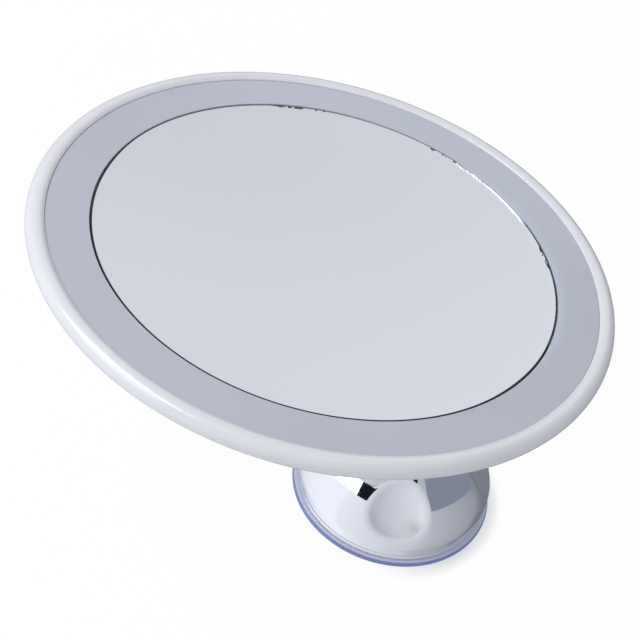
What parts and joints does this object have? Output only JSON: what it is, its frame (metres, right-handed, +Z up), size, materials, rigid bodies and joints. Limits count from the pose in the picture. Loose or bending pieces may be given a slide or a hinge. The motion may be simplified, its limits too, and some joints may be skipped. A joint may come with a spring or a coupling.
{
  "type": "suction cup makeup mirror",
  "caption": "Round magnifying makeup mirror with a light ring, on a ball joint above a chrome twist-lock dome with finger scoops and a clear suction cup.",
  "frame": {"origin": "centre of the suction cup's underside, on the surface that it grips", "axes": "+Z up along the base's axis, the mirror's face looks up along +Z, and -Y is the side that the picture was taken from"},
  "size_m": [0.1997, 0.1991, 0.113],
  "materials": {
    "clear_pvc": "gloss",
    "white_gloss": "gloss",
    "white_satin": "satin",
    "frosted": "matte",
    "silvered": "polished",
    "chrome": "polished",
    "steel": "satin",
    "nylon": "satin",
    "foam": "matte",
    "board": "satin",
    "switch_black": "satin",
    "cell_wrap": "gloss",
    "red_wire": "satin",
    "black_wire": "satin"
  },
  "bodies": {
    "cup_base": {"suction_cup": "clear_pvc", "pressure_bell": "white_satin", "slip_washer": "nylon", "ball_stem": "chrome"},
    "lock_dome": {"twist_dome": "chrome", "cam_ring": "nylon"},
    "lift_stud": {"pull_stud": "nylon", "cross_pin": "steel"},
    "liner_cup": {"ball_liner": "nylon"},
    "liner_band": {"liner_ring": "nylon"},
    "head": {"front_bezel": "white_gloss", "diffuser_ring": "frosted", "mirror_glass": "silvered", "mirror_pad": "foam", "light_tray": "white_satin", "led_board": "board", "rear_cover": "white_gloss", "battery_1": "cell_wrap", "battery_2": "cell_wrap", "battery_3": "cell_wrap", "contact_negative": "steel", "contact_bridge_1": "steel", "contact_bridge_2": "steel", "contact_positive": "steel", "case_screw_1": "steel", "case_screw_2": "steel", "case_screw_3": "steel", "case_screw_4": "steel", "case_screw_5": "steel", "case_screw_6": "steel", "switch_body": "switch_black", "wire_battery": "red_wire", "wire_switch": "red_wire", "wire_return": "black_wire"},
    "nut": {"clamp_nut": "white_gloss"},
    "door": {"battery_door": "white_gloss"},
    "slider": {"switch_slider": "switch_black"}
  },
  "joints": [
    {"name": "dome_twist", "type": "hinge", "parent": "cup_base", "child": "lock_dome", "pos_m": [0, 0, 0.0124], "axis": [0, 0, 1], "range_deg": [0, 100]},
    {"name": "stud_lift", "type": "slide", "parent": "cup_base", "child": "lift_stud", "axis": [0, 0, 1], "range_m": [0, 0.003], "deforming": ["suction_cup"]},
    {"name": "head_swivel", "type": "hinge", "parent": "cup_base", "child": "liner_cup", "pos_m": [0, 0, 0.0721], "axis": [0, 0, 1], "continuous": true},
    {"name": "head_tilt", "type": "hinge", "parent": "liner_cup", "child": "liner_band", "pos_m": [0, 0, 0.0721], "axis": [-0.9128, 0.4083, 0], "range_deg": [-35.25, 24.75]},
    {"name": "head_spin", "type": "hinge", "parent": "liner_band", "child": "head", "pos_m": [0, 0, 0.0721], "axis": [0.0374, 0.0835, 0.9958], "continuous": true},
    {"name": "nut_turn", "type": "hinge", "parent": "head", "child": "nut", "pos_m": [0, 0, 0.0721], "axis": [0.0374, 0.0835, 0.9958], "range_deg": [0, 90]},
    {"name": "door_swing", "type": "hinge", "parent": "head", "child": "door", "pos_m": [-0.06091, 0.00065, 0.08106], "axis": [-0.0016, 0.9965, -0.0835], "range_deg": [0, 100]},
    {"name": "switch_slide", "type": "slide", "parent": "head", "child": "slider", "axis": [-0.0016, 0.9965, -0.0835], "range_m": [0, 0.004]}
  ],
  "couplings": [
    {"joint": "stud_lift", "follows": "dome_twist", "m_per_rad": 0.0017188}
  ]
}
